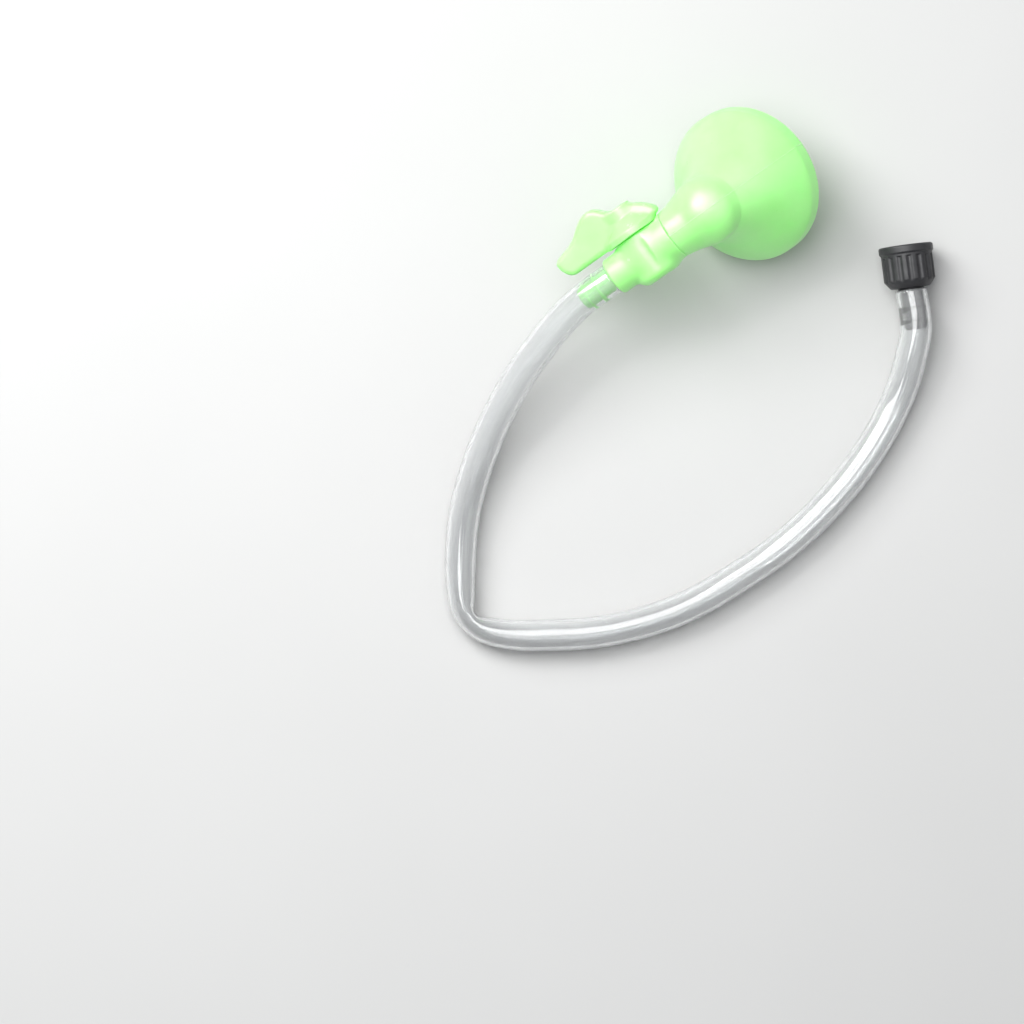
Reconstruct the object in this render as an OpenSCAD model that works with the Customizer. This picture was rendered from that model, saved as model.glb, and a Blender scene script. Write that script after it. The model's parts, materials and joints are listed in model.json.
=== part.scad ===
// Camp shower hose set: a clear hose with a luminous shower head and stopcock on one end
// and a screw coupling for the water bag on the other. Millimetres, +Z up.
// It lies on a floor at z = 0. The origin is on that floor, under the middle of the head.

/* [Rose] */
// Outside diameter of the rose's rim
rose_d = 63; // [60:1:66]
// Tilt of the rose's axis below the horizontal
rose_tilt = 50; // [46:1:54]
// Straight band behind the rim
band_h = 6; // [5:0.5:8]
// Height of the domed back above the band
dome_h = 26; // [24:1:27]
// Fullness of the dome's outline, where 1 is a cone
dome_fullness = 1.3; // [1.2:0.1:1.5]
// From the rim's plane up to the bend of the elbow
elbow_rise = 38; // [37:0.5:40]
// Diameter of one spray hole
spray_d = 1.2; // [1:0.1:1.6]
// Rings of spray holes round the middle one
spray_rings = 4; // [2:1:4]

/* [Neck and barb] */
// Outside diameter of the neck
neck_d = 20.2; // [19.6:0.1:20.4]
// Pitch of the neck, rising from the barb to the elbow
neck_pitch = 15; // [13:1:17]
// From the stopcock's axis to the bend of the elbow
neck_run = 28; // [28:0.5:30]
// Length of the barb that the hose is pushed on
barb_len = 15.5; // [14:0.5:18]

/* [Stopcock] */
// Outside diameter of the stopcock's barrel
barrel_d = 18; // [18:0.5:19]
// Diameter of the turning plug
plug_d = 14; // [13.5:0.5:14]
// Water way through the plug
water_way_d = 6; // [5:0.5:6.5]
// Thickness of the lever's wings
lever_t = 7; // [6:0.5:8]
// Turn of the lever from open to shut
lever_turn = 90; // [90:1:90]

/* [Hose] */
// Outside diameter of the hose
hose_od = 13; // [12:0.5:13]
// Bore of the hose
hose_id = 10; // [10:0.1:10.2]

/* [Coupling] */
// Wall diameter of the nut's thread, which is the minor diameter of G 3/8
thread_d = 14.95; // [14.95:0.05:15]
// Outside diameter of the nut
nut_d = 22; // [21:0.5:23]
// Length of the nut
nut_len = 17; // [16:0.5:20]
// Grip grooves round the nut
nut_grooves = 16; // [12:1:20]

/* [Hidden] */
$fn = 72;
eps = 0.01;
green = [0.62, 0.98, 0.60];
clear = [0.86, 0.90, 0.94, 0.5];
black = [0.10, 0.10, 0.11];
steel = [0.75, 0.76, 0.78];

// Rose, along its own axis: z = 0 is the rim's plane and +Z is the way the water leaves.
rim_r = rose_d / 2;
seat_r = rim_r - 2.2;
seat_depth = 4;
ledge_r = rim_r - 4;
neck_r = neck_d / 2;
neck_bore_r = 7;
ball_swell = 1;
ball_start = -20;
ball_steps = 8;
ridge_len = 27;
ridge_fall = 25;
ridge_r = 12;
dome_steps = 10;
gasket_t = 0.8;
plate_t = 2.4;
plate_r = seat_r - 0.05;
ring_pitch = 5.4;
spray_r = spray_d / 2;

// Stopcock, in the neck's frame: +X runs along the neck to the bell, +Y is the lever's side.
barrel_r = barrel_d / 2;
barrel_foot = -11.2;
barrel_head = 8.7;
foot_chamfer = 2.5;
plug_bore_r = plug_d / 2;
plug_r = plug_bore_r - 0.05;
plug_floor = -8.6;
plug_foot = -8.5;
plug_top = 6.6;
bonnet_seat = 6.7;
bonnet_r = 7.9;
stem_r = 4.25;
stem_hole_r = 4.3;
stem_top = 8.8;
square = 6;
square_end = 14.2;
way_r = water_way_d / 2;
outlet_r = 5;
seal_y = 5;
seal_cord_r = 0.8;
seal_groove = 0.9;
seam_x = 13;
spigot_r = 8;
spigot_end = 21;
socket_r = 8.05;
neck_seal_x = 17;
neck_seal_r = 0.9;
collar_r = 7.8;
hose_mouth = -17;
barb_tip = hose_mouth - barb_len;
barb_r = hose_id / 2 - 0.3;
barb_ridge_r = hose_id / 2 + 0.2;

// Lever
hub_y = 9;
hub_r = 11;
hub_gap = 0.6;
boss_r = 5.2;
boss_top = 21.5;
screw_seat = 15.8;
screw_head_r = 3;
screw_head_h = 2.2;
screw_r = 1.5;
screw_tip = 9.6;
stop_inner = 5.6;
stop_outer = 7.4;
stop_h = 1.6;
stop_angle = 20;
stop_play = 2;
stop_start = 60;
lever_tip = -33;
// The wings' outline in the neck's XY plane: a long wing back over the hose, a short one over the neck
wings = [[-10.5, 9], [-12, 9.6], [-29.4, 9.6], [-31.8, 11.8], [lever_tip, 15], [lever_tip, 17.6],
         [-31, 18.8], [-25, 20.2], [-21.5, 21.6], [-18, 24.4], [-15, 26.4], [-11.4, 27.5],
         [-8.5, 27.2], [-6.2, 25.4], [-3, 21.6], [0, 21.4], [3.7, 21], [7.5, 19.4], [10.8, 17],
         [13.2, 14.4], [14.1, 12.4], [13.2, 11], [8.5, 11]];

// Places. The rim's lower edge is on the floor, and the head's box has its middle at x = 0.
head_span = elbow_rise * cos(rose_tilt) + (neck_run - lever_tip) * cos(neck_pitch)
            + lever_t / 2 * sin(neck_pitch);
rim_centre = [(head_span - rim_r * sin(rose_tilt)) / 2, 0, rim_r * cos(rose_tilt)];
elbow_centre = rim_centre + elbow_rise * [-cos(rose_tilt), 0, sin(rose_tilt)];
neck_way = [cos(neck_pitch), 0, sin(neck_pitch)];
rotor_centre = elbow_centre - neck_run * neck_way;

// Coupling, along the hose's end: z = 0 is the hose's cut face and +Z points out of the nut.
coupling_heading = 62;
coupling_height = nut_d / 2 + 0.1;
hose_end = [58, -73, coupling_height];
coupling_way = [cos(coupling_heading), sin(coupling_heading), 0];
tail_len = 16;
tail_bore_r = 3.2;
tail_neck_r = 5.2;
flange_z = 5;
flange_t = 2;
flange_r = thread_d / 2 - 0.15;
washer_t = 2;
washer_bore_r = 3.6;
nut_back = 1;
nut_r = nut_d / 2;
nut_gap = 0.07;
shoulder_z = flange_z - 0.1;
relief_r = thread_d / 2 + 0.15;
relief_end = flange_z + flange_t + washer_t + 0.1;
groove_r = 1.2;

// Hose route: the mouth and the barb's tip follow the neck, then it drops to the floor, runs round
// its one tight bend and comes back past the head to the coupling.
floor_z = hose_od / 2 + 0.05;
on_floor = [[-153, -56], [-160, -66], [-163.5, -74.5], [-162.5, -82.5], [-157, -90], [-150, -96],
            [-142, -101.5], [-128, -110.5], [-112, -118], [-95, -123.5], [-80, -126], [-66, -127],
            [-50, -127.5], [-34, -126.5], [-19, -124], [-5, -120.5], [9, -115.5], [19, -111]];
route = concat(
    [rotor_centre + hose_mouth * neck_way, rotor_centre + barb_tip * neck_way],
    [[-61, -1, 31.1], [-70, -3, 28.5], [-80, -6, 25.4], [-90, -9.5, 22.3], [-100, -14, 19],
     [-114, -21.5, 14.4], [-128, -31, 10.4], [-142, -43, 7.6]],
    [for (p = on_floor) [p[0], p[1], floor_z]],
    [[28, -106, 7.1], [36, -100.5, 8.4], [43, -94.5, 10]],
    [hose_end - tail_len * coupling_way, hose_end]);
hose_sides = 12;

function unit(v) = v / norm(v);
function route_way(i) = unit(route[min(i + 1, len(route) - 1)] - route[max(i - 1, 0)]);
function ring(i, r) = let (way = route_way(i), side = unit(cross(way, [0, 0, 1])), up = cross(side, way))
    [for (k = [0 : hose_sides - 1]) let (a = 360 * k / hose_sides) route[i] + r * (cos(a) * up + sin(a) * side)];
function bell_r(t) = neck_r + (rim_r - neck_r) * (1 - pow(t, dome_fullness));
function bell_wall(t) = (rim_r - ledge_r) * (1 - t) + (neck_r - neck_bore_r) * t;

module in_rose() translate(rim_centre) rotate([0, 90 + rose_tilt, 0]) children();
module in_neck() translate(rotor_centre) rotate([0, -neck_pitch, 0]) children();
module in_coupling() translate(hose_end) rotate([0, 0, coupling_heading]) rotate([0, 90, 0]) children();
module about_x() rotate([0, 90, 0]) children();
module about_y() rotate([-90, 0, 0]) children();
module bar(from, to, r) translate([0, 0, from]) cylinder(r = r, h = to - from);
module o_ring(middle, cord) rotate_extrude() translate([middle, 0]) circle(r = cord, $fn = 32);
module groove(at, width, floor_r, top_r) translate([0, 0, at - width / 2])
    difference() {
        cylinder(r = top_r + 1, h = width);
        translate([0, 0, -eps]) cylinder(r = floor_r, h = width + 2 * eps);
    }

// Two ridges on a shank that ends in a rounded tip, from a tip at z = 0 up to z = length
module barb(length) rotate_extrude() polygon([
    [0, 0], [barb_r - 1.2, 0], [barb_r - 0.3, 0.8], [barb_ridge_r, 3.6], [barb_r, 3.6],
    [barb_r, 6.6], [barb_ridge_r, 9], [barb_r, 9], [barb_r, length], [0, length]]);

// The dome's outline from the band up to the ball of the elbow: the outside face, or the inside one
function dome(inside) = let (ball_r = (inside ? neck_bore_r : neck_r) + ball_swell) concat(
    [for (i = [0 : dome_steps - 1]) let (t = i / dome_steps)
        [bell_r(t) - (inside ? bell_wall(t) : 0), -band_h - dome_h * t]],
    [for (i = [0 : ball_steps]) let (a = ball_start + (90 - ball_start) * i / ball_steps)
        [i == ball_steps ? 0 : ball_r * cos(a), -elbow_rise - ball_r * sin(a)]]);

// Domed shell with the ball of the elbow, the ridge that carries the neck's line over the dome,
// and the socket for the stopcock's spigot
module bell() color(green) difference() {
    union() {
        in_rose() rotate_extrude()
            polygon(concat([[0, 0], [rim_r - 0.6, 0], [rim_r, -0.6]], dome(false)));
        in_neck() about_x() bar(seam_x, neck_run, neck_r);
        translate(elbow_centre) rotate([0, 90 + ridge_fall, 0])
            cylinder(r1 = neck_r, r2 = ridge_r, h = ridge_len);
    }
    in_rose() rotate_extrude()
        polygon(concat([[0, 1], [seat_r, 1], [seat_r, -seat_depth], [ledge_r, -seat_depth]], dome(true)));
    in_neck() about_x() {
        bar(seam_x - 1, neck_run, neck_bore_r);
        bar(seam_x - 1, spigot_end + 0.2, socket_r);
    }
}

// Pierced plate set in the bell's mouth
module rose_plate() color(green) in_rose() difference() {
    translate([0, 0, -seat_depth + gasket_t]) cylinder(r = plate_r, h = plate_t);
    translate([0, 0, -seat_depth]) {
        cylinder(r = spray_r, h = seat_depth, $fn = 24);
        for (ring = [1 : spray_rings], k = [0 : 6 * ring - 1]) rotate([0, 0, 60 * k / ring])
            translate([ring_pitch * ring, 0, 0]) cylinder(r = spray_r, h = seat_depth, $fn = 24);
    }
}

// Flat ring that seals the plate against the bell's ledge
module rose_gasket() color(black) in_rose() translate([0, 0, -seat_depth]) difference() {
    cylinder(r = plate_r, h = gasket_t);
    translate([0, 0, -1]) cylinder(r = ledge_r, h = gasket_t + 2);
}

// Barb, collar, barrel and spigot in one moulding
module valve_body() color(green) in_neck() difference() {
    union() {
        about_y() rotate_extrude() polygon([[0, barrel_foot], [barrel_r - foot_chamfer, barrel_foot],
            [barrel_r, barrel_foot + foot_chamfer], [barrel_r, barrel_head], [0, barrel_head]]);
        about_x() {
            bar(0, seam_x, neck_r);
            bar(seam_x - eps, spigot_end, spigot_r);
            bar(hose_mouth, 0, collar_r);
            translate([0, 0, barb_tip]) barb(barb_len + 1);
        }
    }
    about_y() {
        bar(plug_floor, barrel_head + 1, plug_bore_r);
        bar(bonnet_seat, barrel_head + 1, bonnet_r);
        bar(barrel_head, neck_r + 1, hub_r + hub_gap);
    }
    about_x() {
        bar(barb_tip - 1, barrel_r, way_r);
        bar(barrel_r - eps, spigot_end + 1, outlet_r);
        groove(neck_seal_x, 2 * neck_seal_r + 0.2, socket_r - 2 * neck_seal_r - 0.05, socket_r);
    }
}

// O-ring on the spigot
module neck_seal() color(black) in_neck() translate([neck_seal_x, 0, 0]) about_x()
    o_ring(socket_r - neck_seal_r - 0.03, neck_seal_r);

// Ring that holds the plug down, with the lug that stops the lever
module bonnet_ring() color(green) in_neck() about_y() {
    difference() {
        bar(bonnet_seat, barrel_head, bonnet_r);
        bar(bonnet_seat - 1, barrel_head + 1, stem_hole_r);
    }
    rotate([0, 0, stop_start]) rotate_extrude(angle = stop_angle)
        translate([stop_inner, barrel_head - 0.5]) square([stop_outer - stop_inner, stop_h + 0.5]);
}

// Turning plug with its cross bore, its stem and its square
module valve_plug() color(green) in_neck() difference() {
    union() {
        about_y() {
            bar(plug_foot, plug_top, plug_r);
            bar(plug_top - eps, stem_top, stem_r);
        }
        translate([-square / 2, stem_top - eps, -square / 2])
            cube([square, square_end - stem_top, square]);
    }
    about_x() bar(-barrel_r, barrel_r, way_r);
    about_y() {
        bar(screw_tip - 0.3, square_end + 1, screw_r);
        for (at = [-seal_y, seal_y])
            groove(at, 2 * seal_groove, plug_bore_r - 2 * seal_cord_r - 0.05, plug_bore_r);
    }
}

module plug_seal(at) color(black) in_neck() about_y() translate([0, 0, at])
    o_ring(plug_bore_r - seal_cord_r - 0.03, seal_cord_r);
module plug_seal_upper() plug_seal(seal_y);
module plug_seal_lower() plug_seal(-seal_y);

// Two wings on a round hub, with a square socket, a screw recess and the slot that the lug runs in
module lever() color(green) in_neck() difference() {
    union() {
        translate([0, 0, -lever_t / 2]) linear_extrude(lever_t) polygon(wings);
        about_y() rotate_extrude() polygon([[0, hub_y], [hub_r, hub_y], [hub_r, hub_y + 2.6],
            [boss_r + 2.6, hub_y + 5.4], [boss_r, hub_y + 8], [boss_r, boss_top], [0, boss_top]]);
    }
    translate([-square / 2 - 0.05, hub_y - 1, -square / 2 - 0.05])
        cube([square + 0.1, square_end + 1.2 - hub_y, square + 0.1]);
    about_y() {
        bar(screw_seat, boss_top + 10, screw_head_r + 0.3);
        bar(square_end, screw_seat + 1, screw_r + 0.15);
        rotate([0, 0, stop_start - lever_turn - stop_play])
            rotate_extrude(angle = lever_turn + stop_angle + 2 * stop_play)
            translate([stop_inner - 0.3, hub_y - 1])
            square([stop_outer - stop_inner + 0.6, stop_h + 1.2]);
    }
}

// Pan-head screw from the lever into the plug's stem
module lever_screw() color(steel) in_neck() about_y() difference() {
    union() {
        bar(screw_tip, screw_seat + eps, screw_r);
        rotate_extrude() polygon([[0, screw_seat], [screw_head_r, screw_seat],
            [screw_head_r, screw_seat + 1.3], [screw_head_r - 0.9, screw_seat + screw_head_h],
            [0, screw_seat + screw_head_h]]);
    }
    for (a = [0, 90]) rotate([0, 0, a])
        translate([-1.8, -0.4, screw_seat + screw_head_h - 1]) cube([3.6, 0.8, 2]);
}

// Hollow tube swept along the route
module hose() color(clear) polyhedron(
    points = concat([for (i = [0 : len(route) - 1]) each ring(i, hose_od / 2)],
                    [for (i = [0 : len(route) - 1]) each ring(i, hose_id / 2)]),
    faces = let (n = hose_sides, last = len(route) - 1, bore = n * len(route)) concat(
        [for (i = [0 : last - 1], k = [0 : n - 1]) let (a = i * n + k, b = i * n + (k + 1) % n)
            each [[a, b, b + n], [a, b + n, a + n],
                  [bore + a, bore + b + n, bore + b], [bore + a, bore + a + n, bore + b + n]]],
        [for (k = [0 : n - 1]) let (a = k, b = (k + 1) % n, e = last * n)
            each [[a, bore + a, bore + b], [a, bore + b, b],
                  [e + a, e + b, bore + e + b], [e + a, bore + e + b, bore + e + a]]]));

// Barbed tail in the hose's far end, with the flange that the nut pulls on
module hose_tail() color(black) in_coupling() difference() {
    union() {
        translate([0, 0, -tail_len]) barb(tail_len + eps);
        bar(0, flange_z + eps, tail_neck_r);
        bar(flange_z, flange_z + flange_t, flange_r);
    }
    bar(-tail_len - 1, flange_z + flange_t + 1, tail_bore_r);
}

// Rubber washer on the tail's flange
module coupling_washer() color(black) in_coupling() difference() {
    bar(flange_z + flange_t, flange_z + flange_t + washer_t, flange_r);
    bar(flange_z, relief_end + 1, washer_bore_r);
}

// Swivel nut with the thread for the bag's outlet
module coupling_nut() color(black) in_coupling() difference() {
    rotate_extrude() polygon([[0, nut_back], [nut_r - 3, nut_back], [nut_r - 1.2, nut_back + 2.2],
        [nut_r - 0.6, nut_back + 3], [nut_r - 0.6, nut_back + nut_len - 3.4],
        [nut_r, nut_back + nut_len - 2.8], [nut_r, nut_back + nut_len - 0.5],
        [nut_r - 0.5, nut_back + nut_len], [0, nut_back + nut_len]]);
    bar(0, shoulder_z + 1, tail_neck_r + nut_gap);
    bar(shoulder_z, relief_end, relief_r);
    bar(relief_end - eps, nut_back + nut_len + 1, thread_d / 2);
    for (i = [0 : nut_grooves - 1]) rotate([0, 0, 360 * i / nut_grooves])
        translate([nut_r, 0, 0]) cylinder(r = groove_r, h = nut_back + nut_len - 4.5, $fn = 24);
}

bell();
rose_plate();
rose_gasket();
valve_body();
neck_seal();
bonnet_ring();
valve_plug();
plug_seal_upper();
plug_seal_lower();
lever();
lever_screw();
hose();
hose_tail();
coupling_washer();
coupling_nut();
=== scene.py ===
import json
import math

import bpy
import numpy as np
from mathutils import Matrix, Vector


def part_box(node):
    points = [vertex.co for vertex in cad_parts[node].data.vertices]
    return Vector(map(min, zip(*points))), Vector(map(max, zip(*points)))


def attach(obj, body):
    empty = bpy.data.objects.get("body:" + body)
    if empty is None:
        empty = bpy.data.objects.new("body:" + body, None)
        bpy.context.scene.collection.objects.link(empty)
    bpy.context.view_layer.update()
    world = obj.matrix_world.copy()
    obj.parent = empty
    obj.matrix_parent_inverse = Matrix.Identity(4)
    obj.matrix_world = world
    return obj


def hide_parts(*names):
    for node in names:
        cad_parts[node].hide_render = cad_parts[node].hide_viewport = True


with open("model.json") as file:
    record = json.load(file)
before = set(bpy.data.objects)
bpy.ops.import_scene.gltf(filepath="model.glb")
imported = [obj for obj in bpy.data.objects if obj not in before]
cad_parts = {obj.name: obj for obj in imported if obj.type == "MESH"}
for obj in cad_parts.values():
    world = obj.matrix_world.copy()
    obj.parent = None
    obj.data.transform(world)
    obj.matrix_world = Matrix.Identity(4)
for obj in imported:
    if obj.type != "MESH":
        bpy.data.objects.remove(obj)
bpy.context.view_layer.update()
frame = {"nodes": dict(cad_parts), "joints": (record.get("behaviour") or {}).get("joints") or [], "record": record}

MM = 0.001          # one millimetre in metres; shapes below are given in millimetres
scene = bpy.context.scene

# ---------------------------------------------------------------- places, from the frame
ROSE_TILT = math.radians(50)
NECK_PITCH = math.radians(15)
NECK_RUN, ELBOW_RISE = 28, 38
joints = {j["name"]: j for j in frame["joints"]}
rotor = Vector(joints["lever_turn"]["pos_m"])
hose_end = Vector(joints["nut_turn"]["pos_m"])
coupling_way = Vector(joints["nut_turn"]["axis"]).normalized()
rim_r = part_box("bell")[1].y

NECK = Matrix.Translation(rotor) @ Matrix.Rotation(-NECK_PITCH, 4, "Y")
rose_way = Vector((math.cos(ROSE_TILT), 0, -math.sin(ROSE_TILT)))
rim_centre = NECK @ Vector((NECK_RUN * MM, 0, 0)) + ELBOW_RISE * MM * rose_way
ROSE = Matrix.Translation(rim_centre) @ Matrix.Rotation(math.pi / 2 + ROSE_TILT, 4, "Y")
COUPLING = Matrix.Translation(hose_end) @ coupling_way.to_track_quat("Z", "X").to_matrix().to_4x4()

# ---------------------------------------------------------------- camera, straight down as in the photograph
VIEW_WIDTH = 0.41   # metres across the picture, at the height of its middle
LENS, SENSOR = 180, 36
PICTURE_MIDDLE = Vector((-0.125, -0.0525, 0.025))
PICTURE_TURN = math.radians(-35.5)

camera = bpy.data.objects.new("camera", bpy.data.cameras.new("camera"))
camera.data.lens = LENS
camera.data.sensor_width = SENSOR
camera.location = PICTURE_MIDDLE + Vector((0, 0, VIEW_WIDTH * LENS / SENSOR))
camera.rotation_euler = (0, 0, PICTURE_TURN)
scene.collection.objects.link(camera)
scene.camera = camera

# ---------------------------------------------------------------- hose: its route, in metres, as in part.scad
HOSE_OD = 0.013
HOSE_ID = 0.010
HOSE_MOUTH, BARB_TIP = -0.017, -0.0325      # along the neck
TAIL = 0.016                                # straight length on the coupling's barbs
FLOOR_Z = 0.00655                           # its middle, where it lies on the floor
ON_FLOOR = [(-0.153, -0.056), (-0.160, -0.066), (-0.1635, -0.0745), (-0.1625, -0.0825), (-0.157, -0.090),
            (-0.150, -0.096), (-0.142, -0.1015), (-0.128, -0.1105), (-0.112, -0.118), (-0.095, -0.1235),
            (-0.080, -0.126), (-0.066, -0.127), (-0.050, -0.1275), (-0.034, -0.1265), (-0.019, -0.124),
            (-0.005, -0.1205), (0.009, -0.1155), (0.019, -0.111)]
hose_mouth = NECK @ Vector((HOSE_MOUTH, 0, 0))
route = [hose_mouth, NECK @ Vector((BARB_TIP, 0, 0))]
route += [Vector(p) for p in ((-0.061, -0.001, 0.0311), (-0.070, -0.003, 0.0285), (-0.080, -0.006, 0.0254),
                              (-0.090, -0.0095, 0.0223), (-0.100, -0.014, 0.019), (-0.114, -0.0215, 0.0144),
                              (-0.128, -0.031, 0.0104), (-0.142, -0.043, 0.0076))]
route += [Vector((x, y, FLOOR_Z)) for x, y in ON_FLOOR]
route += [Vector(p) for p in ((0.028, -0.106, 0.0071), (0.036, -0.1005, 0.0084), (0.043, -0.0945, 0.010))]
route += [hose_end - TAIL * coupling_way, hose_end.copy()]

# ---------------------------------------------------------------- mesh tools


def link(name, mesh):
    obj = bpy.data.objects.new(name, mesh)
    scene.collection.objects.link(obj)
    return obj


def smooth_shaded(mesh):
    mesh.polygons.foreach_set("use_smooth", [True] * len(mesh.polygons))
    mesh.update()


def mesh_of(name, vertices, faces):
    """A new object from points in metres and faces."""
    mesh = bpy.data.meshes.new(name)
    mesh.from_pydata([tuple(v) for v in vertices], [], faces)
    mesh.validate()
    smooth_shaded(mesh)
    return link(name, mesh)


def lathe(name, profile, place, segments=96):
    """A closed outline of (radius, z) in millimetres turned about the local Z axis."""
    count = len(profile)
    vertices, faces = [], []
    for s in range(segments):
        a = 2 * math.pi * s / segments
        vertices += [place @ (Vector((r * math.cos(a), r * math.sin(a), z)) * MM) for r, z in profile]
    for s in range(segments):
        here, after = s * count, (s + 1) % segments * count
        faces += [(here + i, here + (i + 1) % count, after + (i + 1) % count, after + i)
                  for i in range(count)]
    return mesh_of(name, vertices, faces)


# ---------------------------------------------------------------- distance fields, in millimetres


def soft_min(a, b, k):
    """Union of two fields with a fillet about k wide."""
    h = np.clip(0.5 + 0.5 * (b - a) / k, 0, 1)
    return b * (1 - h) + a * h - k * h * (1 - h)


def soft_max(a, b, k):
    return -soft_min(-a, -b, k)


def cut(body, tool, k=0.3):
    """body with tool taken away, its edges rounded by about k."""
    return soft_max(body, -tool, k)


def rod(p, axis, low, high, r, edge=0.4):
    """A round bar along one axis of the frame, with rounded edges."""
    others = [i for i in range(3) if i != axis]
    radial = np.hypot(p[:, others[0]], p[:, others[1]]) - (r - edge)
    along = np.abs(p[:, axis] - (low + high) / 2) - ((high - low) / 2 - edge)
    outside = np.hypot(np.maximum(radial, 0), np.maximum(along, 0))
    return outside + np.minimum(np.maximum(radial, along), 0) - edge


def outline_field(x, y, points):
    """Signed distance to a closed outline, negative inside."""
    best = np.full(len(x), 1e9)
    sign = np.ones(len(x))
    for (ax, ay), (bx, by) in zip(points, points[1:] + points[:1]):
        ex, ey = bx - ax, by - ay
        wx, wy = x - ax, y - ay
        t = np.clip((wx * ex + wy * ey) / (ex * ex + ey * ey), 0, 1)
        best = np.minimum(best, (wx - ex * t) ** 2 + (wy - ey * t) ** 2)
        over, under, left = y >= ay, y < by, ex * wy > ey * wx
        sign = np.where((over & under & left) | (~over & ~under & ~left), -sign, sign)
    return sign * np.sqrt(best)


def turned(p, axis, points):
    """The field of an outline of (radius, height) turned about an axis of the frame."""
    others = [i for i in range(3) if i != axis]
    radius = np.hypot(p[:, others[0]], p[:, others[1]])
    return outline_field(radius, p[:, axis], points)


def rounded_corners(points, radius, steps=5):
    """The outline with each corner replaced by a short arc-like curve."""
    out = []
    for i, here in enumerate(points):
        before, after = Vector(points[i - 1]), Vector(points[(i + 1) % len(points)])
        here = Vector(here)
        reach = min(radius, (before - here).length / 2, (after - here).length / 2)
        start = here + (before - here).normalized() * reach
        end = here + (after - here).normalized() * reach
        for s in range(steps + 1):
            t = s / steps
            bend = start * (1 - t) ** 2 + here * 2 * t * (1 - t) + end * t ** 2
            if not out or (bend - Vector(out[-1])).length > 0.01:
                out.append(tuple(bend))
    return out


SLOPE_STEP = 0.04
LEAST_SLOPE = 0.2
EVENING = 0.6


def sculpt(name, node, field, place, voxel, rounds=4, stages=()):
    """The CAD node's solid, remeshed and drawn on to the zero surface of field, given in place's millimetres.

    The stages are fields passed through on the way, for fillets deeper than the wall.
    """
    mesh = frame["nodes"][node].data.copy()
    mesh.transform(Matrix.Scale(1 / MM, 4) @ place.inverted())
    obj = link(name, mesh)
    mesh.materials.clear()
    remesh = obj.modifiers.new("remesh", "REMESH")
    remesh.mode = "VOXEL"
    remesh.voxel_size = voxel
    bpy.context.view_layer.update()
    skin = bpy.data.meshes.new_from_object(obj.evaluated_get(bpy.context.evaluated_depsgraph_get()))
    obj.modifiers.clear()
    obj.data = skin
    bpy.data.meshes.remove(mesh)

    count = len(skin.vertices)
    p = np.zeros(count * 3)
    skin.vertices.foreach_get("co", p)
    p = p.reshape(-1, 3)
    edges = np.zeros(len(skin.edges) * 2, dtype=np.int64)
    skin.edges.foreach_get("vertices", edges)
    edges = edges.reshape(-1, 2)
    degree = np.bincount(edges.ravel(), minlength=count)[:, None]

    def gradient(points, shape):
        return np.stack([(shape(points + d) - shape(points - d)) / (2 * SLOPE_STEP)
                         for d in np.eye(3) * SLOPE_STEP], axis=1)

    def project(points, passes, shape=field):
        """The points moved on to shape's zero surface, at most a voxel in each pass."""
        for _ in range(passes):
            g = gradient(points, shape)
            move = shape(points)[:, None] * g / np.maximum((g * g).sum(1, keepdims=True), LEAST_SLOPE)
            length = np.linalg.norm(move, axis=1, keepdims=True)
            points = points - move * np.minimum(1, voxel / np.maximum(length, 1e-9))
        return points

    for early in stages:
        p = project(p, passes=3, shape=early)
    p = project(p, passes=4)
    for _ in range(rounds):
        total = np.zeros_like(p)
        for k in range(3):
            total[:, k] = (np.bincount(edges[:, 0], p[edges[:, 1], k], count)
                           + np.bincount(edges[:, 1], p[edges[:, 0], k], count))
        slide = total / degree - p      # evens the spacing out, along the surface only
        normal = gradient(p, field)
        normal /= np.maximum(np.linalg.norm(normal, axis=1, keepdims=True), 1e-9)
        p = project(p + EVENING * (slide - normal * (slide * normal).sum(1, keepdims=True)), passes=2)
    skin.vertices.foreach_set("co", p.ravel())
    skin.transform(place @ Matrix.Scale(MM, 4))
    smooth_shaded(skin)
    return obj


# ---------------------------------------------------------------- hose
HOSE_SPACING = 0.001
HOSE_SIDES = 96
SPAN_STEPS = 24                             # points between two of the route's, before they are spaced evenly
KINK = Vector((-0.1635, -0.0775, FLOOR_Z))
KINK_REACH, KINK_FALL = 0.022, 1.5
KINK_SQUEEZE = 0.16                         # how much narrower it gets there
FOLD_DEPTH, FOLD_REACH = 0.0022, 0.006      # the crease on the kink's inner side


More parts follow.
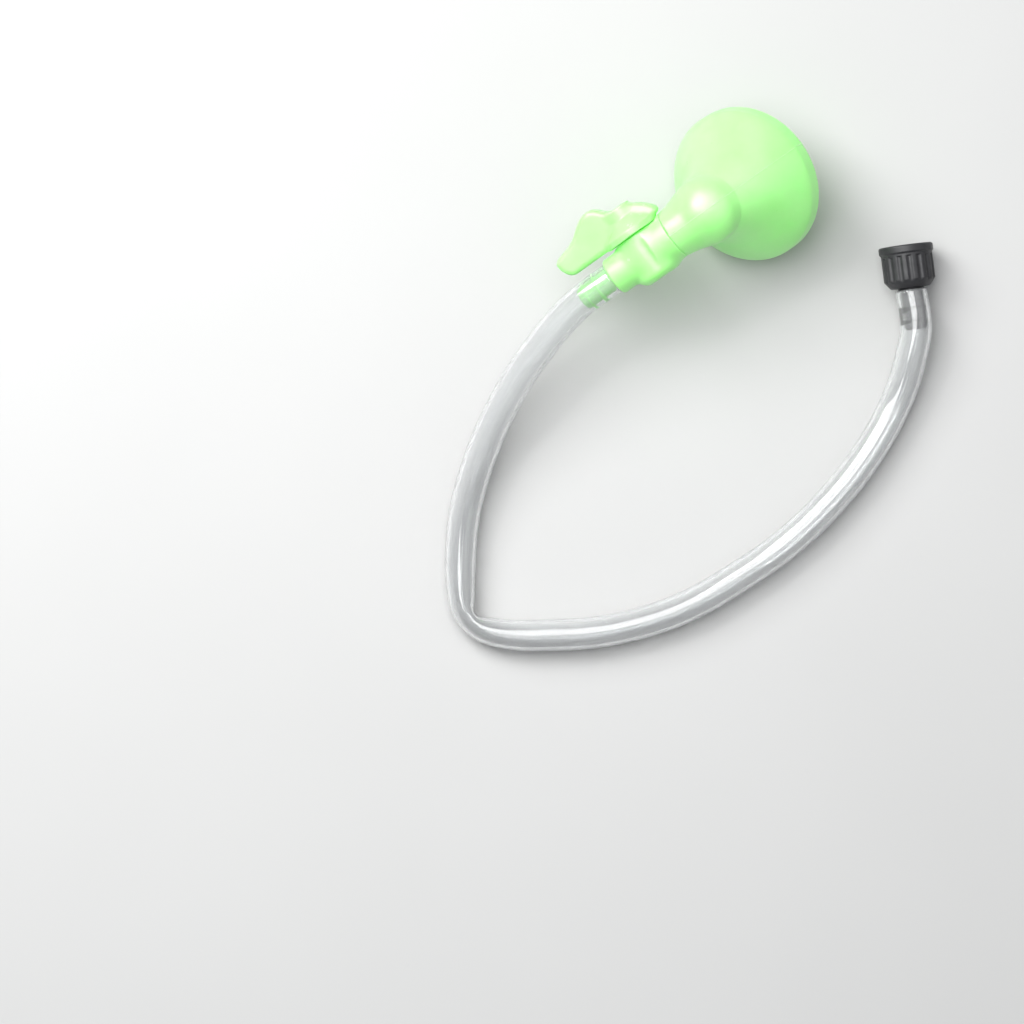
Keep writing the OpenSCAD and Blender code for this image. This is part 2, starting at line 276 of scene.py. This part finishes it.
def smooth_line(points, spacing):
    """Points a spacing apart along a natural cubic curve through the given ones, and its length."""
    chords = [0.0]
    for a, b in zip(points, points[1:]):
        chords.append(chords[-1] + (b - a).length)
    p = np.array([tuple(v) for v in points])
    t = np.array(chords)
    h = np.diff(t)
    slope = np.diff(p, axis=0) / h[:, None]
    n = len(p)
    system, right = np.zeros((n, n)), np.zeros((n, 3))
    system[0, 0] = system[-1, -1] = 1
    right[0], right[-1] = slope[0], slope[-1]
    for i in range(1, n - 1):
        system[i, i - 1:i + 2] = h[i], 2 * (h[i - 1] + h[i]), h[i - 1]
        right[i] = 3 * (slope[i - 1] * h[i] + slope[i] * h[i - 1])
    tangent = np.linalg.solve(system, right)
    fine = []
    for i in range(n - 1):
        for u in np.linspace(0, 1, SPAN_STEPS, endpoint=False):
            fine.append((2 * u ** 3 - 3 * u ** 2 + 1) * p[i] + (u ** 3 - 2 * u ** 2 + u) * h[i] * tangent[i]
                        + (3 * u ** 2 - 2 * u ** 3) * p[i + 1] + (u ** 3 - u ** 2) * h[i] * tangent[i + 1])
    fine = np.array(fine + [p[-1]])
    along = np.concatenate([[0], np.cumsum(np.linalg.norm(np.diff(fine, axis=0), axis=1))])
    at = np.linspace(0, along[-1], int(round(along[-1] / spacing)) + 1)
    return np.stack([np.interp(at, along, fine[:, k]) for k in range(3)], axis=1), along[-1]


def make_hose():
    """A tube with a wall, squeezed and creased where it is bent hardest, and the line of its middle.

    Its lay attribute holds the cosine and sine of the turn round the tube and the metres along it.
    """
    line, length = smooth_line(route, HOSE_SPACING)
    way = np.gradient(line, axis=0)
    way /= np.linalg.norm(way, axis=1, keepdims=True)
    side = np.cross(way, (0, 0, 1))
    side /= np.linalg.norm(side, axis=1, keepdims=True)
    up = np.cross(side, way)
    from_kink = np.linalg.norm(line - np.array(KINK), axis=1)
    squeeze = 1 - KINK_SQUEEZE * np.exp(-(from_kink / KINK_REACH) ** 2 * KINK_FALL)
    inner = np.sign((np.gradient(way, axis=0) * side).sum(1))
    fold = FOLD_DEPTH * inner * np.exp(-(from_kink / FOLD_REACH) ** 2)
    angles = 2 * math.pi * np.arange(HOSE_SIDES) / HOSE_SIDES
    vertices = []
    for r in (HOSE_OD / 2, HOSE_ID / 2):
        for i in range(len(line)):
            for a in angles:
                crease = fold[i] * max(inner[i] * math.sin(a), 0) ** 2
                across = r * squeeze[i] * math.sin(a) - crease
                vertices.append(line[i] + r * math.cos(a) * up[i] + across * side[i])
    rings, n = len(line), HOSE_SIDES
    bore = rings * n
    faces = []
    for i in range(rings - 1):
        for k in range(n):
            a, b = i * n + k, i * n + (k + 1) % n
            faces.append((a, b, b + n, a + n))
            faces.append((bore + b, bore + a, bore + a + n, bore + b + n))
    last = (rings - 1) * n
    for k in range(n):
        j = (k + 1) % n
        faces.append((k, bore + k, bore + j, j))
        faces.append((last + j, bore + last + j, bore + last + k, last + k))
    tube = mesh_of("hose_tube", vertices, faces)
    lay = tube.data.attributes.new("lay", "FLOAT_VECTOR", "POINT")
    turn = np.tile(np.stack([np.cos(angles), np.sin(angles)], axis=1), (2 * rings, 1))
    along = np.tile(np.repeat(np.linspace(0, length, rings), n), 2)
    lay.data.foreach_set("vector", np.column_stack([turn, along]).ravel())
    return tube, line


hose, hose_line = make_hose()
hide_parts("hose")
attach(hose, "root")

# ---------------------------------------------------------------- head, as distance fields in millimetres
# Heights in the rose's frame run from its rim, which is 0, back to the elbow. X in the neck's frame runs from
# the stopcock's axis to the rose, and Y is the stopcock's axis.
RIM_R = rim_r / MM
BAND_H, DOME_H = 6, 26
DOME_FULLNESS = 1.3
RIM_WALL, DOME_WALL, REBATE = 2.2, 4, 4      # the rose plate sits in the rebate
NECK_R, NECK_BORE_R = 10.1, 7
ELBOW_R, ELBOW_BORE_R = NECK_R + 0.5, NECK_BORE_R + 0.4
SEAM_X = 13
SPIGOT_R, SPIGOT_BORE_R, SPIGOT_END = 8, 5, 21
SOCKET_ROOM, SOCKET_END_ROOM = 0.05, 0.2
COLLAR_R, COLLAR_BACK = 7.8, -17
BARREL_R, BARREL_FOOT, BARREL_HEAD = 9, -11.2, 8.7
PLUG_BORE_R, PLUG_FLOOR = 7.0, -8.6
BONNET_R, BONNET_FLOOR = 7.9, 6.7
STUB_START, SEAM_GAP = 4, 0.15
BARB_BORE_R = 3
HUB_Y, HUB_R = 9, 11
LEVER_T = 7
RIDGE_LEN, RIDGE_FALL, RIDGE_R = 27, math.radians(25), 12
rose_from_neck = ROSE.inverted() @ NECK


def moved(p, matrix):
    """Points of one frame in another, all in millimetres."""
    m = np.array(matrix)
    return p @ m[:3, :3].T + m[:3, 3] / MM


def dome(t):
    """The dome's radius, from its band at 0 to the elbow at 1."""
    return NECK_R + (RIM_R - NECK_R) * (1 - t ** DOME_FULLNESS)


steps = [i / 40 for i in range(41)]
outer_dome = [(0, 2), (RIM_R, 2)] + [(dome(t), -BAND_H - DOME_H * t) for t in steps]
outer_dome += [(NECK_R, -ELBOW_RISE), (0, -ELBOW_RISE)]
inner_dome = [(0, 3), (RIM_R - RIM_WALL, 3), (RIM_R - RIM_WALL, -REBATE), (RIM_R - DOME_WALL, -REBATE)]
inner_dome += [(dome(t) - DOME_WALL * (1 - t) - (NECK_R - NECK_BORE_R) * t, -BAND_H - DOME_H * t)
               for t in steps]
inner_dome += [(NECK_BORE_R, -ELBOW_RISE), (0, -ELBOW_RISE)]
ridge_way = ROSE.to_3x3().inverted() @ Vector((math.cos(RIDGE_FALL), 0, -math.sin(RIDGE_FALL)))
elbow_centre = np.array((0, 0, -ELBOW_RISE))
ridge_end = elbow_centre + RIDGE_LEN * np.array(ridge_way)
to_neck = rose_from_neck.inverted()


def tapered(p, start, end, r_start, r_end):
    """A round-ended bar from one point to another, its radius changing on the way."""
    along = end - start
    t = np.clip((p - start) @ along / (along @ along), 0, 1)
    return np.linalg.norm(p - start - t[:, None] * along, axis=1) - (r_start + (r_end - r_start) * t)


def bell_field(p, fillet=12):
    """p in the rose's frame: dome, neck and elbow with a fillet where they meet, and the hollow in them."""
    q = moved(p, to_neck)
    elbow = np.linalg.norm(p - elbow_centre, axis=1)
    neck = soft_min(rod(q, 0, SEAM_X - 1, NECK_RUN, NECK_R, 0.3), elbow - ELBOW_R, 1)
    ridge = tapered(p, elbow_centre, ridge_end, ELBOW_R, RIDGE_R)
    outside = soft_min(turned(p, 2, outer_dome), soft_min(neck, ridge, 2), fillet)
    outside = soft_max(outside, SEAM_X - q[:, 0], 0.3)
    outside = soft_max(outside, p[:, 2], 1.0)
    cavity = soft_min(turned(p, 2, inner_dome), elbow - ELBOW_BORE_R, 2)
    cavity = soft_min(cavity, rod(q, 0, SEAM_X - 4, NECK_RUN, NECK_BORE_R), 1.5)
    socket = rod(q, 0, SEAM_X - 4, SPIGOT_END + SOCKET_END_ROOM, SPIGOT_R + SOCKET_ROOM)
    cavity = soft_min(cavity, socket, 0.3)
    return cut(outside, cavity, 0.6)


barb = [(0, -32.5), (3.6, -32.5), (4.4, -31.8), (5.15, -29), (4.75, -28.8), (4.7, -26), (5.15, -23.5),
        (4.75, -23.3), (4.7, -14), (0, -14)]


def body_field(p):
    """p in the neck's frame: barrel, neck stub, collar, barbs and spigot, and the bores of plug and water."""
    shape = rod(p, 1, BARREL_FOOT, BARREL_HEAD + 3, BARREL_R, 3.4)
    shape = soft_min(shape, rod(p, 0, STUB_START, SEAM_X - SEAM_GAP, NECK_R, 0.3), 3)
    shape = soft_min(shape, rod(p, 0, COLLAR_BACK, 0, COLLAR_R, 0.9), 3)
    shape = soft_min(shape, turned(p, 0, barb) - 0.05, 0.2)
    shape = soft_min(shape, rod(p, 0, 0, SPIGOT_END, SPIGOT_R, 0.4), 0.2)
    # each cut runs on past the surface that it opens, here and in the other fields
    shape = cut(shape, rod(p, 1, BARREL_HEAD, 16, HUB_R + 0.6, 0.3), 0.4)
    shape = cut(shape, rod(p, 1, PLUG_FLOOR, 14, PLUG_BORE_R, 0.1), 0.2)
    shape = cut(shape, rod(p, 1, BONNET_FLOOR, 14, BONNET_R, 0.1), 0.3)
    shape = cut(shape, rod(p, 0, -37, BARREL_R, BARB_BORE_R, 0.1), 0.3)
    return cut(shape, rod(p, 0, BARREL_R, 30, SPIGOT_BORE_R, 0.1), 0.3)


wings = [(-10.5, 9), (-12, 9.6), (-29.4, 9.6), (-31.8, 11.8), (-33, 15), (-33, 17.6), (-31, 18.8),
         (-25, 20.2), (-21.5, 21.6), (-18, 24.4), (-15, 26.4), (-11.4, 27.5), (-8.5, 27.2), (-6.2, 25.4),
         (-3, 21.6), (0, 21.4), (3.7, 21), (7.5, 19.4), (10.8, 17), (13.2, 14.4), (14.1, 12.4), (13.2, 11),
         (8.5, 11)]
soft_wings = rounded_corners(wings, 3.5, 4)
hub = [(0, HUB_Y), (HUB_R, HUB_Y), (HUB_R, 11.6), (7.8, 14.4), (5.2, 17), (5.2, 21.5), (0, 21.5)]
WING_EDGE = 2.2
WING_THINNING, WING_MIDDLE, WING_EVEN = 0.03, -3, 8      # how fast it thins, from where, and after how far
SCREW_HEAD_R, SCREW_SEAT = 3.3, 15.8
SCREW_R = 1.65
SQUARE_HALF, SQUARE_TOP = 3.05, 14.4


def lever_field(p):
    """p in the neck's frame: a fin with rounded edges on a hub, thinner towards its tips."""
    flat = outline_field(p[:, 0], p[:, 1], soft_wings) + WING_EDGE
    half = LEVER_T / 2 - WING_THINNING * np.maximum(np.abs(p[:, 0] - WING_MIDDLE) - WING_EVEN, 0)
    thick = np.abs(p[:, 2]) - (half - WING_EDGE)
    beyond = np.hypot(np.maximum(flat, 0), np.maximum(thick, 0))
    fin = beyond + np.minimum(np.maximum(flat, thick), 0) - WING_EDGE
    shape = soft_min(fin, turned(p, 1, hub) - 0.02, 2.5)
    shape = soft_max(shape, HUB_Y - p[:, 1], 0.4)
    shape = cut(shape, rod(p, 1, SCREW_SEAT, 40, SCREW_HEAD_R, 0.1), 0.5)
    shape = cut(shape, rod(p, 1, 12, 18, SCREW_R, 0.05), 0.2)
    square = np.maximum(np.maximum(np.abs(p[:, 0]), np.abs(p[:, 2])) - SQUARE_HALF, p[:, 1] - SQUARE_TOP)
    return cut(shape, square, 0.2)


ROSE_BACK, ROSE_FACE, ROSE_R = -3.2, -0.8, RIM_R - 2.3
ROSE_CROWN = 0.5
RING_PITCH, RINGS, SPRAY_R = 5.4, 4, 0.6
NOZZLE_R, NOZZLE_H = 1.25, 0.4
RIB_R, RIB_HALF, RIB_H = RING_PITCH * (RINGS + 0.6), 0.5, 0.3


def rose_field(p):
    """p in the rose's frame: a crowned plate with a small raised nozzle round every spray hole."""
    radius, turn = np.hypot(p[:, 0], p[:, 1]), np.arctan2(p[:, 1], p[:, 0])
    above = p[:, 2] - ROSE_FACE - ROSE_CROWN * (1 - (radius / ROSE_R) ** 2)
    plate = soft_max(soft_max(radius - ROSE_R, above, 0.5), ROSE_BACK - p[:, 2], 0.3)
    hole = radius
    for ring in range(1, RINGS + 1):
        sector = math.pi / 3 / ring
        off = (turn + sector / 2) % sector - sector / 2
        hole = np.minimum(hole, np.hypot(radius * np.sin(off), radius * np.cos(off) - RING_PITCH * ring))
    nozzle = soft_max(np.maximum(hole - NOZZLE_R, -0.5 - above), above - NOZZLE_H, 0.3)
    rib = np.maximum(np.abs(radius - RIB_R) - RIB_HALF, above - RIB_H)
    return cut(soft_min(soft_min(plate, nozzle, 0.3), rib, 0.4), hole - SPRAY_R, 0.15)


head_voxel = 0.55
easing = [lambda p, fillet=fillet: bell_field(p, fillet) for fillet in (2, 5, 8)]
bell = sculpt("bell_shell", "bell", bell_field, ROSE, head_voxel, stages=easing)
body = sculpt("stopcock_body", "valve_body", body_field, NECK, head_voxel * 0.8)
lever = sculpt("lever_wings", "lever", lever_field, NECK, head_voxel * 0.8)
rose = sculpt("rose_face", "rose_plate", rose_field, ROSE, 0.3, rounds=2)
for piece, node, carrier in ((bell, "bell", "root"), (body, "valve_body", "root"),
                             (rose, "rose_plate", "root"), (lever, "lever", "handle")):
    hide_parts(node)
    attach(piece, carrier)

# ---------------------------------------------------------------- coupling
THREAD_R, THREAD_DEPTH, THREAD_PITCH, THREAD_START = 7.475, 0.8, 1.337, 9.3
FLANK, CREST = 1.25, 0.12                   # how steep the thread's sides are, and the flat on its crest
FLANK_SLOPE = 0.6                           # brings the field's slope on the flanks down to about 1
MOUTH_R, MOUTH_Z, MOUTH_TAPER = 8.4, 18.2, 0.9
SEAT_FOOT, SEAT_TOP = 4.9, 9.4
NUT_R = 11
GROOVES, GROOVE_R, GROOVE_TOP = 16, 1.2, 13.5
WASHER_SEAT_R, TAIL_HOLE_R = 7.62, 5.27
nut_outline = [(0, 1), (8, 1), (9.8, 3.2), (10.4, 4), (10.4, 14.6), (11, 15.2), (11, 17.5), (10.5, 18),
               (0, 18)]


def nut_field(p):
    """p in the coupling's frame: a grooved nut with its thread cut inside."""
    radius, turn = np.hypot(p[:, 0], p[:, 1]), np.arctan2(p[:, 1], p[:, 0])
    shape = turned(p, 2, nut_outline)
    sector = 2 * math.pi / GROOVES
    off = (turn + sector / 2) % sector - sector / 2
    groove = np.hypot(radius * np.sin(off), radius * np.cos(off) - NUT_R) - GROOVE_R
    shape = cut(shape, np.maximum(groove, p[:, 2] - GROOVE_TOP), 0.5)
    phase = (p[:, 2] / THREAD_PITCH - turn / (2 * math.pi)) % 1
    crest = np.abs(phase - 0.5) * 2
    thread = THREAD_R + THREAD_DEPTH * np.clip(FLANK * crest - CREST, 0, 1)
    void = np.maximum(radius - thread, THREAD_START - p[:, 2]) * FLANK_SLOPE
    shape = cut(shape, void, 0.1)
    shape = cut(shape, rod(p, 2, SEAT_FOOT, SEAT_TOP, WASHER_SEAT_R, 0.05), 0.1)
    shape = cut(shape, radius - (MOUTH_R - MOUTH_TAPER * (MOUTH_Z - p[:, 2])), 0.1)
    return cut(shape, rod(p, 2, -1, 6, TAIL_HOLE_R, 0.05), 0.3)


nut = sculpt("swivel_nut", "coupling_nut", nut_field, COUPLING, 0.24, rounds=2)
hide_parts("coupling_nut")
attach(nut, "nut")

tail_profile = [(3.2, -16), (3.5, -16), (4.4, -15.3), (5.2, -12.5), (5.1, -12.3), (4.7, -12.1), (4.7, -9.5),
                (5.2, -7.1), (5.1, -6.9), (4.7, -6.7), (4.7, -0.3), (5.2, 0), (5.2, 4.8), (5.4, 5), (7.1, 5),
                (7.3, 5.2), (7.3, 6.8), (7.1, 7), (3.4, 7), (3.2, 6.8)]
tail = lathe("barbed_tail", tail_profile, COUPLING)
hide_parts("hose_tail")
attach(tail, "root")

# ---------------------------------------------------------------- materials


class Shader:
    """Builds one node material, wiring nodes by name of their sockets."""

    def __init__(self, name):
        self.material = bpy.data.materials.new(name)
        self.material.use_nodes = True
        self.tree = self.material.node_tree
        self.surface = self.tree.nodes["Principled BSDF"]
        self.place = self.node("ShaderNodeTexCoord").outputs["Object"]

    def node(self, kind, inputs=(), **settings):
        node = self.tree.nodes.new(kind)
        for key, value in settings.items():
            setattr(node, key, value)
        for key, value in dict(inputs).items():
            self.feed(node.inputs[key], value)
        return node

    def feed(self, socket, value):
        if isinstance(value, bpy.types.NodeSocket):
            self.tree.links.new(value, socket)
        else:
            socket.default_value = value

    def set(self, **values):
        for key, value in values.items():
            self.feed(self.surface.inputs[key.replace("_", " ")], value)

    def noise(self, scale, detail=3, roughness=0.5, vector=None):
        return self.node("ShaderNodeTexNoise", {"Vector": vector or self.place, "Scale": scale,
                                                "Detail": detail, "Roughness": roughness}).outputs["Fac"]

    def band(self, value, low, high, out_low=0.0, out_high=1.0):
        return self.node("ShaderNodeMapRange", {"Value": value, "From Min": low, "From Max": high,
                                                "To Min": out_low, "To Max": out_high}).outputs["Result"]

    def mix(self, factor, a, b):
        node = self.node("ShaderNodeMix", data_type="RGBA")
        self.feed(node.inputs[0], factor)
        self.feed(node.inputs[6], a)
        self.feed(node.inputs[7], b)
        return node.outputs[2]

    def maths(self, operation, a, b=0.0):
        node = self.node("ShaderNodeMath", operation=operation)
        self.feed(node.inputs[0], a)
        self.feed(node.inputs[1], b)
        return node.outputs[0]

    def scratches(self):
        """Sparse hairlines in two directions, 0 or 1."""
        lines = []
        for stretch, turn in (((1, 14, 14), 0.6), ((12, 1, 12), 1.9)):
            vector = self.node("ShaderNodeMapping", {"Vector": self.place, "Scale": stretch,
                                                     "Rotation": (0.3, 0.4, turn)}).outputs["Vector"]
            thin = self.band(self.noise(150, 2, 0.5, vector), 0.63, 0.66)
            lines.append(self.maths("MULTIPLY", thin, self.band(self.noise(70, 2), 0.50, 0.60)))
        return self.maths("MAXIMUM", *lines)

    def bump(self, height, distance, strength=1.0, normal=None):
        inputs = {"Height": height, "Distance": distance, "Strength": strength}
        if normal is not None:
            inputs["Normal"] = normal
        return self.node("ShaderNodeBump", inputs).outputs["Normal"]


def luminous_green(name, split=None):
    """Milky glow-in-the-dark plastic; split is the (normal, offset) of the plane its mould opened on.

    Clouds and specks of a paler green, then wear on the edges and painted shade in the corners, then scratches.
    """
    s = Shader(name)
    broad = s.band(s.noise(45, 4, 0.55), 0.3, 0.7)
    colour = s.mix(broad, (0.37, 0.85, 0.275, 1), (0.44, 0.90, 0.345, 1))
    colour = s.mix(s.band(s.noise(700, 4, 0.65), 0.62, 0.75, 0, 0.25), colour, (0.50, 0.97, 0.44, 1))
    # above a half on edges that stand out, below it in corners
    bend = s.node("ShaderNodeNewGeometry").outputs["Pointiness"]
    worn = s.maths("MULTIPLY", s.band(bend, 0.52, 0.60), s.band(s.noise(900, 5, 0.7), 0.40, 0.62))
    # painted shade: the corners are turned a darker, deeper green in mottled patches, where shade would fall
    painted_corner_shade = s.maths("MULTIPLY", s.band(bend, 0.49, 0.44), s.band(s.noise(260, 4, 0.6), 0.35, 0.7, 0, 0.5))
    colour = s.mix(s.maths("MULTIPLY", worn, 0.6), colour, (0.74, 0.99, 0.72, 1))
    colour = s.mix(painted_corner_shade, colour, (0.16, 0.52, 0.12, 1))
    scratches = s.scratches()
    rough = s.band(s.noise(160, 5, 0.6), 0.25, 0.75, 0.26, 0.42)
    rough = s.maths("ADD", rough, s.maths("MULTIPLY", scratches, 0.18))
    height = s.maths("SUBTRACT", s.noise(700, 2), s.maths("MULTIPLY", scratches, 0.5))
    peel = s.bump(height, 0.00004, 0.5)
    if split:
        normal, offset = split
        along = s.node("ShaderNodeVectorMath", {0: s.place, 1: normal}, operation="DOT_PRODUCT")
        off = s.maths("ABSOLUTE", s.maths("SUBTRACT", along.outputs["Value"], offset))
        line = s.band(off, 0.00010, 0.00026, 1.0, 0.0)
        colour = s.mix(s.maths("MULTIPLY", line, 0.35), colour, (0.66, 0.98, 0.62, 1))
        peel = s.bump(line, 0.00012, 1.0, peel)
    # the weak green emission is a painted glow that adds green to the shaded sides
    s.set(Base_Color=colour, Roughness=rough, Subsurface_Weight=0.7, Subsurface_Radius=(0.55, 1.0, 0.45),
          Subsurface_Scale=0.003, Specular_IOR_Level=0.6, Coat_Weight=0.8, Coat_IOR=1.55, Coat_Roughness=0.45,
          Emission_Color=(0.10, 0.85, 0.03, 1), Emission_Strength=0.15)
    s.set(Normal=s.bump(s.noise(4200, 2), 0.00001, 0.6, peel))
    return s.material


def clear_pvc():
    """Clear tube with streaks from its extrusion, drawn on the mesh's lay attribute."""
    s = Shader("clear_pvc_hose")
    lay = s.node("ShaderNodeAttribute", attribute_name="lay").outputs["Vector"]
    fine = s.node("ShaderNodeVectorMath", {0: lay, 1: (9, 9, 2.5)}, operation="MULTIPLY").outputs["Vector"]
    wide = s.node("ShaderNodeVectorMath", {0: lay, 1: (2.5, 2.5, 14)}, operation="MULTIPLY").outputs["Vector"]
    streaks = s.noise(1.6, 4, 0.6, fine)
    haze = s.band(s.noise(1.2, 4, 0.6, wide), 0.45, 0.75)
    scuffs = s.maths("MULTIPLY", s.band(s.noise(1500, 4, 0.75), 0.60, 0.75), s.band(s.noise(60, 3), 0.5, 0.7))
    s.set(Base_Color=s.mix(haze, (0.985, 0.992, 0.995, 1), (0.95, 0.970, 0.975, 1)), IOR=1.5,
          Coat_Weight=0.6, Coat_Roughness=0.14,
          Transmission_Weight=s.band(haze, 0, 1, 0.90, 0.74),
          Roughness=s.maths("ADD", s.band(streaks, 0.3, 0.7, 0.02, 0.07), s.maths("MULTIPLY", scuffs, 0.25)))
    s.set(Normal=s.bump(streaks, 0.00002, 0.5, s.bump(s.noise(45, 1), 0.0002, 0.1)))
    return s.material


def black_plastic():
    """Moulded plastic with a fine grain."""
    s = Shader("grained_black_plastic")
    s.set(Base_Color=s.mix(s.noise(300, 4), (0.018, 0.018, 0.020, 1), (0.040, 0.040, 0.043, 1)),
          Roughness=s.band(s.noise(500, 4), 0.3, 0.7, 0.38, 0.58))
    s.set(Normal=s.bump(s.noise(3800, 2), 0.00003, 0.6))
    return s.material


def black_rubber():
    """Dull rubber, a little mottled."""
    s = Shader("black_rubber_seal")
    s.set(Base_Color=s.mix(s.noise(400, 3), (0.02, 0.02, 0.02, 1), (0.035, 0.035, 0.035, 1)), Roughness=0.75)
    s.set(Normal=s.bump(s.noise(2500, 3), 0.00003, 0.5))
    return s.material


def bright_steel():
    """Turned steel, brighter and duller in patches."""
    s = Shader("bright_screw_steel")
    s.set(Base_Color=(0.62, 0.63, 0.65, 1), Metallic=1.0,
          Roughness=s.band(s.noise(2500, 3), 0.3, 0.7, 0.18, 0.36))
    return s.material


finishes = {"luminous_green": luminous_green("luminous_green_plastic"), "clear_pvc": clear_pvc(),
            "black_plastic": black_plastic(), "black_rubber": black_rubber(), "screw_steel": bright_steel()}
up_from_neck = Vector((-math.sin(NECK_PITCH), 0, math.cos(NECK_PITCH)))
neck_split = (tuple(up_from_neck), up_from_neck.dot(rotor))
bell.data.materials.append(luminous_green("luminous_green_head", ((0, 1, 0), 0)))
rose.data.materials.append(luminous_green("luminous_green_rose"))
body.data.materials.append(luminous_green("luminous_green_body", neck_split))
lever.data.materials.append(luminous_green("luminous_green_lever", neck_split))
hose.data.materials.append(finishes["clear_pvc"])
for piece in (nut, tail):
    piece.data.materials.append(finishes["black_plastic"])
for part in frame["record"]["subparts"]:
    mesh = frame["nodes"][part["node"]].data
    mesh.materials.clear()
    mesh.materials.append(finishes[part["material_slot"]])
EDGE_BEVEL, SHARP = 0.12 * MM, math.radians(35)
for name in ("lever_screw", "bonnet_ring", "valve_plug", "coupling_washer"):
    soften = frame["nodes"][name].modifiers.new("soft_edges", "BEVEL")
    soften.width, soften.segments, soften.angle_limit = EDGE_BEVEL, 2, SHARP
    soften.limit_method = "ANGLE"

# ---------------------------------------------------------------- floor and light
FLOOR_HALF = 2
floor_corners = [(x * FLOOR_HALF, y * FLOOR_HALF, 0) for x, y in ((-1, -1), (1, -1), (1, 1), (-1, 1))]
floor = mesh_of("floor", floor_corners, [(0, 1, 2, 3)])
pale = Shader("pale_floor")
pale.set(Base_Color=pale.mix(pale.noise(6, 4), (0.53, 0.53, 0.525, 1), (0.57, 0.57, 0.565, 1)), Roughness=0.7)
floor.data.materials.append(pale.material)

LOW_SKY, HIGH_SKY = 0.05, 0.75      # upward part of a ray between which the surroundings brighten
DIM, BRIGHT = 0.06, 0.36
world = bpy.data.worlds.new("studio")
world.use_nodes = True
sky = world.node_tree.nodes
way = sky.new("ShaderNodeSeparateXYZ")
fade = sky.new("ShaderNodeMapRange")
fade.inputs["From Min"].default_value, fade.inputs["From Max"].default_value = LOW_SKY, HIGH_SKY
fade.inputs["To Min"].default_value, fade.inputs["To Max"].default_value = DIM, BRIGHT
world.node_tree.links.new(sky.new("ShaderNodeTexCoord").outputs["Generated"], way.inputs[0])
world.node_tree.links.new(way.outputs["Z"], fade.inputs["Value"])
world.node_tree.links.new(fade.outputs["Result"], sky["Background"].inputs["Strength"])
sky["Background"].inputs["Color"].default_value = (0.94, 0.97, 1.0, 1)
scene.world = world


def softbox(name, offset, size, power):
    """A square area light that looks at the middle of the picture."""
    light = bpy.data.lights.new(name, "AREA")
    light.size, light.energy = size, power
    obj = bpy.data.objects.new(name, light)
    obj.location = PICTURE_MIDDLE + Vector(offset)
    obj.rotation_euler = (-Vector(offset)).to_track_quat("-Z", "Y").to_euler()
    scene.collection.objects.link(obj)


softbox("key_light", (-0.15, 0.85, 0.80), 0.6, 11)
softbox("top_light", (0.05, 0.35, 1.0), 0.8, 10.5)
softbox("fill_light", (0.6, -0.5, 0.8), 0.8, 1)
scene.view_settings.view_transform = "Standard"
